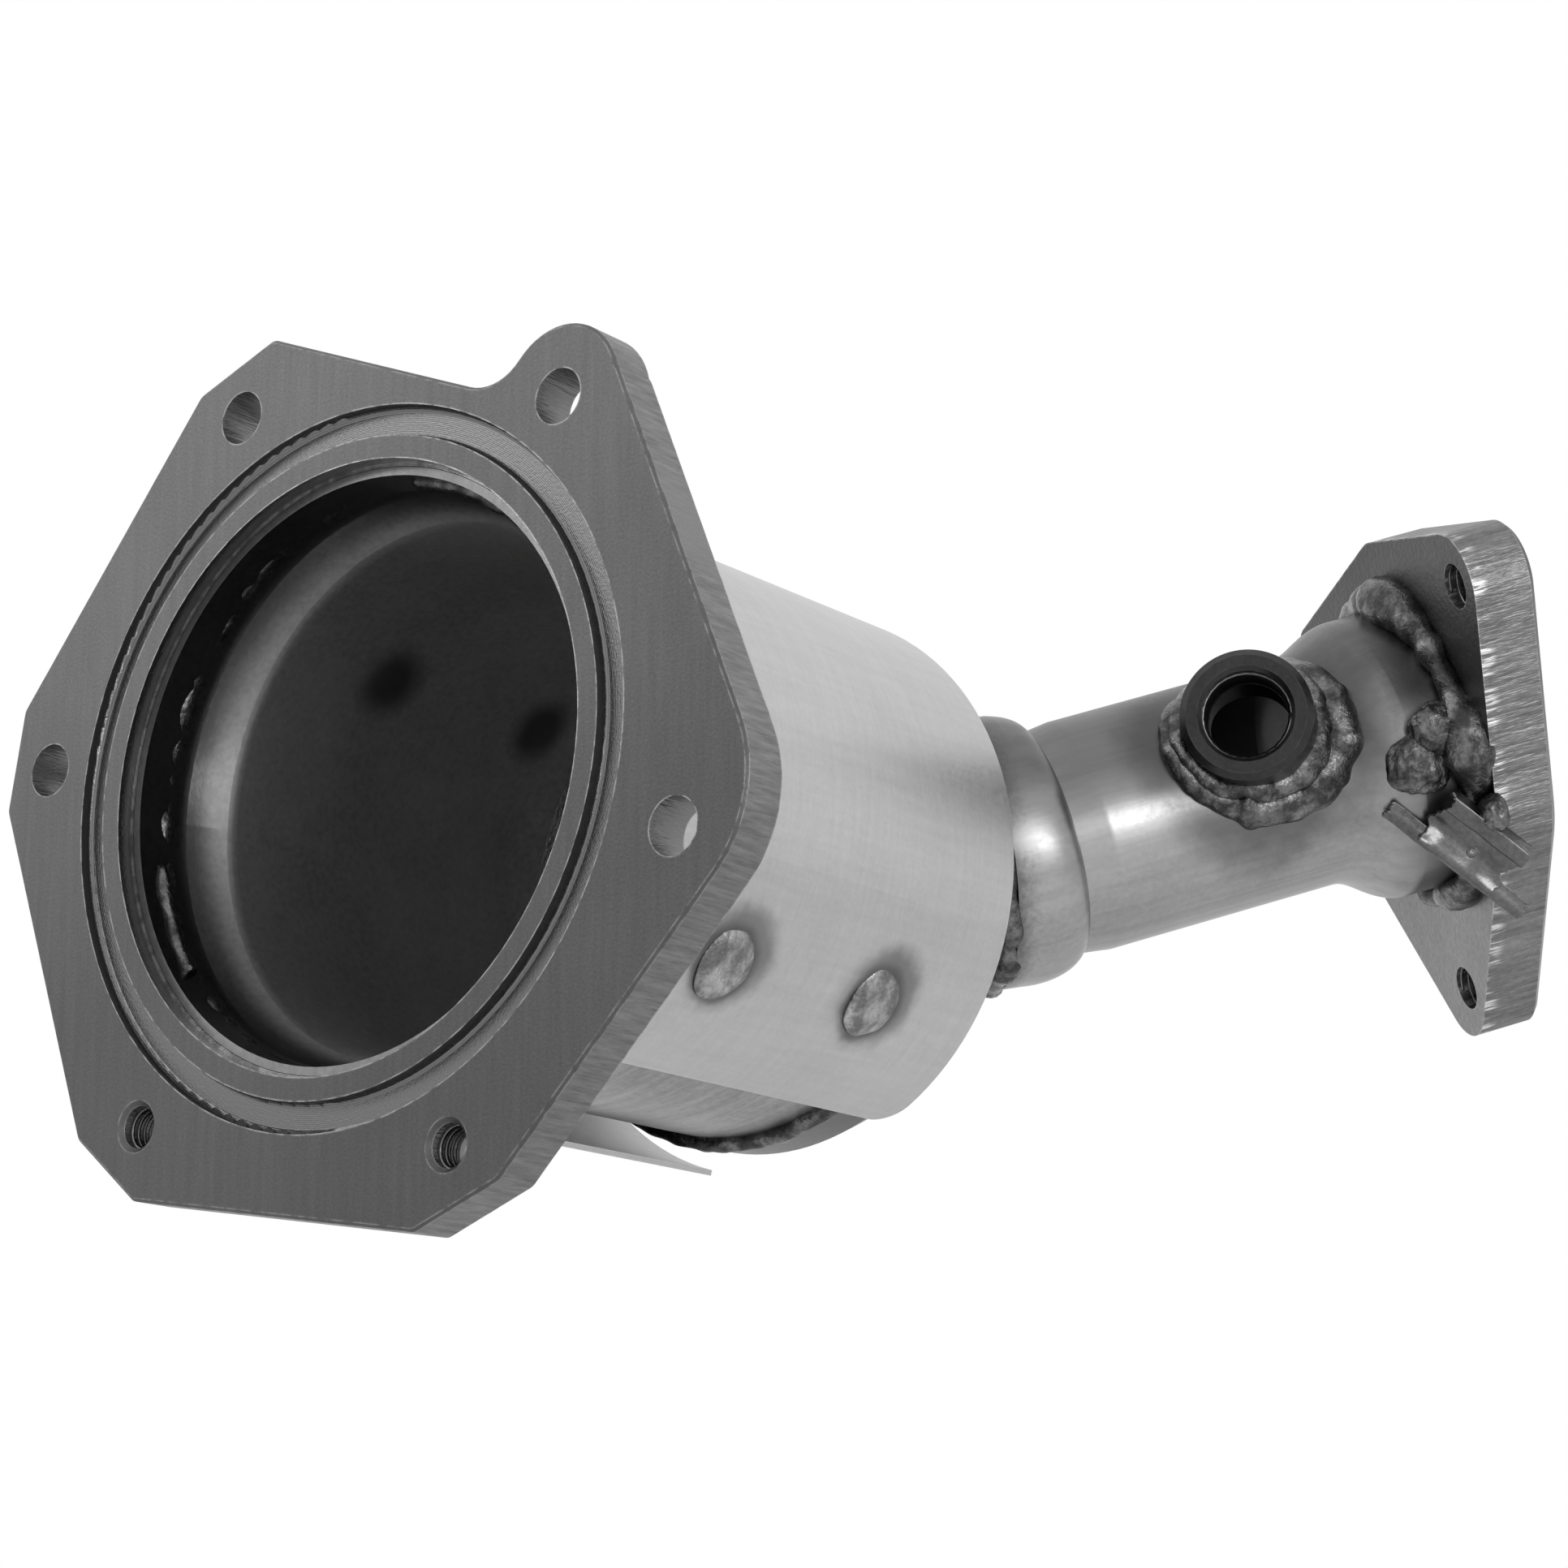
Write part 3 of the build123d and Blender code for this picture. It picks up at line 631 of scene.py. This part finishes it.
def bead(mesh, radius, height, section, count, seed, lumps=(), start=0.0, span=tau, depth=0.1):
    """Rippled weld bead round local z: a small circle spun round, then swollen by its lumps."""
    steps = int(span / tau * bead_steps)
    ring = bmesh.ops.create_circle(mesh, segments=bead_sides, radius=section)
    stand = Matrix.Rotation(pi / 2, 4, "X")
    at = Matrix.Rotation(start, 4, "Z") @ Matrix.Translation((radius, 0, height)) @ stand
    bmesh.ops.transform(mesh, matrix=at, verts=ring["verts"])
    edges = list({edge for vert in ring["verts"] for edge in vert.link_edges})
    before = set(mesh.verts) - set(ring["verts"])
    whole = abs(span - tau) < 1e-6
    bmesh.ops.spin(mesh, geom=ring["verts"] + edges, cent=(0, 0, 0), axis=(0, 0, 1), dvec=(0, 0, 0),
                   angle=span, steps=steps, use_merge=whole, use_normal_flip=False, use_duplicate=False)
    if not whole:
        ends = [edge for edge in mesh.edges if edge.is_boundary]
        bmesh.ops.holes_fill(mesh, edges=ends, sides=bead_sides)
    for vert in [vert for vert in mesh.verts if vert not in before]:
        angle = atan2(vert.co.y, vert.co.x)
        way = Vector((cos(angle), sin(angle), 0))
        middle = way * radius + Vector((0, 0, height))
        reach = (vert.co - middle).length
        lag = angle + (vert.co - middle).dot(way) / reach * 0.03
        growth = 1 + lumps_at(angle, lumps) + depth * ripple(lag, count, seed)
        growth += 0.3 * noise.noise(vert.co / (4.5 * mm) + Vector((seed, 0, 0)))
        vert.co = middle + (vert.co - middle) * growth


def blob(mesh, centre, sizes, seed, amount, turn=None):
    """Lumpy drop of weld metal, a ball pulled to three half sizes."""
    ball = bmesh.ops.create_icosphere(mesh, subdivisions=5, radius=1.0)["verts"]
    for vert in ball:
        swell = noise.noise(vert.co * 1.3 + Vector((seed, seed, 0)))
        swell += 0.4 * noise.noise(vert.co * 4 + Vector((0, seed, 0)))
        vert.co *= 1 + amount * swell
    place = Matrix.Translation(centre) @ (turn or Matrix()) @ Matrix.Diagonal((*sizes, 1))
    bmesh.ops.transform(mesh, matrix=place, verts=ball)


def pipe_point(turn, reach, along):
    """Point in the pipe's frame from an angle in degrees, a radius and a distance along it."""
    return Vector((reach * cos(radians(turn)), reach * sin(radians(turn)), along))


def flare_at(along):
    """Pipe radius at a distance along it from the knee."""
    travel = min(max((along - flare_start) / (flare_full - flare_start), 0), 1)
    return pipe_radius + (flare_radius - pipe_radius) * (1 - cos(pi * travel)) / 2


def pipe_depth(x, y):
    """Height of the pipe's wall in the boss frame, found by halving along the boss axis."""
    into_pipe = pipe_frame.inverted() @ boss_frame
    low, high = -30 * mm, 0.0
    halvings = 16
    for _ in range(halvings):
        middle = (low + high) / 2
        point = into_pipe @ Vector((x, y, middle))
        if sqrt(point.x ** 2 + point.y ** 2) > flare_at(point.z):
            high = middle
        else:
            low = middle
    return low


def weld_pieces():
    """Rippled weld beads, each a round bead with lumps at angles about its own axis."""
    # Behind the inlet flange
    mesh = bmesh.new()
    bead(mesh, mouth_outer + 1.2 * mm, flange_thickness + 1.2 * mm, section=2.6 * mm, count=52, seed=1.0)
    piece_from("inlet_weld_bead", mesh, "weld", main_frame, ["inlet_weld"])

    # Stretches that show inside the mouth, by start and length in degrees
    mesh = bmesh.new()
    for start, length in ((100, 48), (152, 40), (325, 25)):
        lump = (start + length / 2, length / 3, 0.25)
        bead(mesh, mouth_inner, 7.5 * mm, section=1.1 * mm, lumps=[lump], count=34, seed=start,
             start=radians(start), span=radians(length), depth=0.3)
    piece_from("inlet_root_beads", mesh, "root weld", main_frame, ["inlet_root_weld"])

    # Between can and cone
    mesh = bmesh.new()
    bead(mesh, can_outer + 0.5 * mm, cone_weld_station, section=1.7 * mm, count=60, seed=3.0)
    piece_from("cone_weld_bead", mesh, "weld", main_frame, ["cone_weld"])

    # Between cone and bell
    lumps = [(225, 14, 0.55), (252, 12, 0.8), (281, 12, 0.5), (150, 20, 0.2)]
    mesh = bmesh.new()
    bead(mesh, spigot_radius + 0.3 * mm, -bell_back - 1.4 * mm, section=1.7 * mm, lumps=lumps,
         count=26, seed=4.0, depth=0.16)
    piece_from("bell_weld_bead", mesh, "weld", bell_frame, ["bell_weld"])

    # Behind the outlet flange, with its slugs and three drops, two of them turned to follow the pipe
    lumps = [(122, 36, 1.35), (158, 9, 0.3), (194, 22, 1.9), (272, 22, 0.8), (296, 9, 0.5)]
    mesh = bmesh.new()
    bead(mesh, flare_radius + 1.9 * mm, outlet_face - 1.5 * mm, section=2.2 * mm, lumps=lumps,
         count=17, seed=5.0, depth=0.12)
    blob(mesh, pipe_point(197, 27.4 * mm, 66.0 * mm), (3.0 * mm, 6.0 * mm, 6.4 * mm), seed=2.0,
         amount=0.16, turn=Matrix.Rotation(radians(197), 4, "Z"))
    blob(mesh, pipe_point(186, 29.0 * mm, 70.5 * mm), (3.4 * mm, 5.0 * mm, 5.4 * mm), seed=7.0,
         amount=0.16, turn=Matrix.Rotation(radians(186), 4, "Z"))
    blob(mesh, pipe_point(217, 35.0 * mm, 75.4 * mm), (3.6 * mm, 3.6 * mm, 2.8 * mm), seed=9.0, amount=0.2)
    bmesh.ops.translate(mesh, vec=(0, -flare_drop, 0), verts=mesh.verts)
    piece_from("outlet_weld_bead", mesh, "weld", pipe_frame, ["outlet_weld"])

    # Two runs round the boss, drawn flat and then laid on the pipe
    mesh = bmesh.new()
    bead(mesh, 15.0 * mm, 0.0, section=2.7 * mm, lumps=[(0, 70, 0.35), (262, 9, 0.35), (200, 50, 0.1)],
         count=15, seed=6.0, depth=0.08)
    bmesh.ops.translate(mesh, vec=(1.2 * mm, -0.8 * mm, 0), verts=mesh.verts)
    bead(mesh, boss_radius + 0.5 * mm, 2.4 * mm, section=2.1 * mm, lumps=[(330, 40, 0.3)],
         count=19, seed=8.0, depth=0.07)
    for vert in mesh.verts:
        vert.co.z += pipe_depth(vert.co.x, vert.co.y)
    piece_from("boss_weld_bead", mesh, "weld", boss_frame, ["boss_weld"])


def hanger_place():
    """Frame of the torn hanger: x along it, z out of its face."""
    turn, gap, height = hanger_start
    x = (hanger_along - hanger_facing * hanger_along.dot(hanger_facing)).normalized()
    z = hanger_facing.normalized()
    turned = Matrix((x, z.cross(x), z)).transposed().to_4x4()
    start = pipe_point(turn, flare_at(height) + gap, height)
    return pipe_frame @ Matrix.Translation(start) @ turned


def along_path(path, share):
    """Point at a share of the way along a path of straight lines."""
    steps = [sqrt((b[0] - a[0]) ** 2 + (b[1] - a[1]) ** 2) for a, b in zip(path, path[1:])]
    left = share * sum(steps)
    for (a, b), step in zip(zip(path, path[1:]), steps):
        if left <= step:
            return a[0] + (b[0] - a[0]) * left / step, a[1] + (b[1] - a[1]) * left / step
        left -= step
    return path[-1]


def torn_sheet(mesh, path, start, end, tear, crumple, seed):
    """Sheet that follows path across and runs from start to end, in millimetres, with ragged ends."""
    grid = bmesh.ops.create_grid(mesh, x_segments=60, y_segments=56, size=0.5)["verts"]
    for vert in grid:
        run, share = vert.co.x + 0.5, vert.co.y + 0.5
        y, z = along_path(path, share)
        jag = noise.noise(Vector((share * 5, seed, 0))) + 0.5 * noise.noise(Vector((share * 17, seed, 3)))
        x = start + tear * jag * (1 - run) ** 2 + (end + tear * 1.4 * jag - start) * run
        z += crumple * noise.noise(Vector((x / 6, y / 4, seed)))
        z += crumple * 1.1 * exp(-((y - 0.3) / 1.3) ** 2) - crumple * 0.8 * exp(-((y - 4.4) / 1.5) ** 2)
        vert.co = Vector((x, y, z)) * mm
    faces = list({face for vert in grid for face in vert.link_faces})
    bmesh.ops.recalc_face_normals(mesh, faces=faces)
    bmesh.ops.solidify(mesh, geom=faces, thickness=hanger_sheet)


def hanger_pieces():
    """Folded channel and strap with torn ends, and the drop of weld behind them."""
    mesh = bmesh.new()
    torn_sheet(mesh, channel_path, start=7.8, end=25.2, tear=1.6, crumple=0.8, seed=4.0)
    piece_from("torn_channel", mesh, "sheet", hanger_place(), ["hanger_channel"])
    mesh = bmesh.new()
    torn_sheet(mesh, strap_path, start=0.3, end=32.6, tear=0.9, crumple=0.5, seed=9.0)
    piece_from("torn_strap", mesh, "sheet", hanger_place(), ["hanger_strap"])
    mesh = bmesh.new()
    blob(mesh, Vector((19.0, 3.6, -4.4)) * mm, (4.2 * mm, 4.2 * mm, 5.0 * mm), seed=5.0, amount=0.25)
    piece_from("hanger_weld_drop", mesh, "weld", hanger_place(), ["hanger_weld"])


def plug_welds():
    """Swirled drops on the shield, one over each plug weld."""
    node = frame["nodes"]["rosette_welds"]
    points = [node.matrix_world @ vert.co for vert in node.data.vertices]
    mesh = bmesh.new()
    for count, (foot, outward) in enumerate(rosette_axes()):
        reaches = [point - foot for point in points]
        near = [reach for reach in reaches
                if (reach - outward * reach.dot(outward)).length < rosette_radius + mm]
        top = max(reach.dot(outward) for reach in near) - rosette_cap
        ball = bmesh.ops.create_icosphere(mesh, subdivisions=6, radius=1.0)["verts"]
        for vert in ball:
            reach = sqrt(vert.co.x ** 2 + vert.co.y ** 2)
            angle = atan2(vert.co.y, vert.co.x)
            swirl = sin(angle * 2 + reach * 5 + count * 1.7)
            rim = 1 + 0.09 * noise.noise(Vector((cos(angle) * 1.4, sin(angle) * 1.4, count * 3.1)))
            crater = 0.45 * exp(-((reach - 0.1) / 0.28) ** 2) * (vert.co.z > 0)
            rise = (vert.co.z * (1.0 + 0.28 * swirl * reach) - crater) * 1.15 * mm
            x = vert.co.x * rim * rosette_radius
            y = vert.co.y * rim * rosette_radius
            curve = sqrt(shield_radius ** 2 - y ** 2) - shield_radius
            vert.co = Vector((x, y, rise + curve))
        place = basis(foot + outward * top, outward, Vector((1, 0, 0)).cross(outward))
        bmesh.ops.transform(mesh, matrix=place, verts=ball)
    piece_from("plug_weld_drops", mesh, "bright weld", None, ["rosette_welds"])


def thread(mount):
    """Ridges of an internal thread, as one helix of a small triangular section."""
    facts = mounts[mount]
    radius = facts["dims"]["r_mm"] * mm
    length = facts["dims"]["length_mm"] * mm
    pitch = thread_pitches[facts["dims"]["r_mm"]] * mm
    turns = int((length - pitch) / pitch)
    mesh = bmesh.new()
    section = bmesh.ops.create_circle(mesh, segments=3, radius=pitch * 0.42)
    stand = Matrix.Rotation(pi / 2, 4, "X")
    at = Matrix.Translation((radius, 0, -turns * pitch / 2)) @ stand @ Matrix.Rotation(pi / 2, 4, "Z")
    bmesh.ops.transform(mesh, matrix=at, verts=section["verts"])
    edges = list({edge for vert in section["verts"] for edge in vert.link_edges})
    bmesh.ops.spin(mesh, geom=section["verts"] + edges, cent=(0, 0, 0), axis=(0, 0, 1),
                   dvec=(0, 0, pitch / thread_steps), angle=tau * turns, steps=turns * thread_steps,
                   use_merge=False, use_normal_flip=False, use_duplicate=False)
    ends = [edge for edge in mesh.edges if edge.is_boundary]
    bmesh.ops.holes_fill(mesh, edges=ends, sides=3)
    place = basis(Vector(facts["pos_m"]), Vector(facts["axis"]))
    piece_from(mount + "_ridges", mesh, "thread", place)


weld_pieces()
plug_welds()
hanger_pieces()
for title, facts in mounts.items():
    if facts["kind"] == "threaded_hole":
        thread(title)


# Studio

def look_from(azimuth, elevation):
    """Direction from the object towards the camera."""
    return Vector((sin(azimuth) * cos(elevation), -cos(azimuth) * cos(elevation), sin(elevation)))


def place_camera():
    """Camera at the photograph's viewpoint, turned as the photograph is."""
    data = bpy.data.cameras.new("camera")
    data.lens = camera_lens
    data.sensor_width = 36.0
    data.sensor_fit = "HORIZONTAL"
    data.clip_start = 0.01
    data.clip_end = 50.0
    camera = bpy.data.objects.new("camera", data)
    camera.location = camera_place
    back = look_from(camera_azimuth, camera_elevation)
    camera.rotation_euler = back.to_track_quat("Z", "Y").to_euler()
    bpy.context.collection.objects.link(camera)
    bpy.context.scene.camera = camera


def area_light(name, place, target, size, power):
    """Rectangular lamp that faces a target."""
    data = bpy.data.lights.new(name, "AREA")
    data.shape = "RECTANGLE"
    data.size, data.size_y = size
    data.energy = power
    light = bpy.data.objects.new(name, data)
    light.location = place
    light.rotation_euler = (Vector(place) - Vector(target)).to_track_quat("Z", "Y").to_euler()
    bpy.context.collection.objects.link(light)


def studio_world():
    """White to the camera, to reflections and through glass; a soft sky for the rest."""
    world = bpy.data.worlds.new("studio")
    world.use_nodes = True
    bpy.context.scene.world = world
    tree = Tree(world.node_tree)
    output = world.node_tree.nodes["World Output"]
    soft = world.node_tree.nodes["Background"]
    way = tree.add("ShaderNodeTexCoord").outputs["Generated"]
    level = tree.remap(tree.dot(way, bright_side), -0.75, 0.85, 0.22, 1.15)
    tree.feed(soft.inputs["Color"], tree.grey(level))
    white = tree.add("ShaderNodeBackground", {"Color": (1, 1, 1, 1), "Strength": 1.0})
    path = tree.add("ShaderNodeLightPath")
    shown = tree.math("ADD", path.outputs["Is Camera Ray"], path.outputs["Is Glossy Ray"], clamp=True)
    shown = tree.math("ADD", shown, path.outputs["Is Transmission Ray"], clamp=True)
    both = tree.add("ShaderNodeMixShader", {0: shown, 1: soft.outputs[0], 2: white.outputs[0]})
    tree.feed(output.inputs["Surface"], both.outputs[0])


def pale_floor():
    """Plain round floor well below the object."""
    mesh = bmesh.new()
    bmesh.ops.create_circle(mesh, cap_ends=True, segments=96, radius=floor_radius)
    bmesh.ops.translate(mesh, vec=(0.1, 0, floor_level), verts=mesh.verts)
    data = bpy.data.meshes.new("floor")
    mesh.to_mesh(data)
    mesh.free()
    floor = bpy.data.objects.new("floor", data)
    bpy.context.collection.objects.link(floor)
    paint = bpy.data.materials.new("pale floor")
    paint.use_nodes = True
    shader = paint.node_tree.nodes["Principled BSDF"]
    shader.inputs["Base Color"].default_value = (0.86, 0.86, 0.86, 1)
    shader.inputs["Roughness"].default_value = 0.9
    data.materials.append(paint)


place_camera()
studio_world()
pale_floor()
area_light("key", place=(-0.25, -1.1, 0.0), target=(0.15, 0, 0), size=(0.55, 0.26), power=3.6)
area_light("fill", place=(-0.84, 0.74, 0.72), target=(0, 0, 0), size=(0.7, 0.5), power=1.6)
bpy.context.scene.view_settings.view_transform = "Standard"
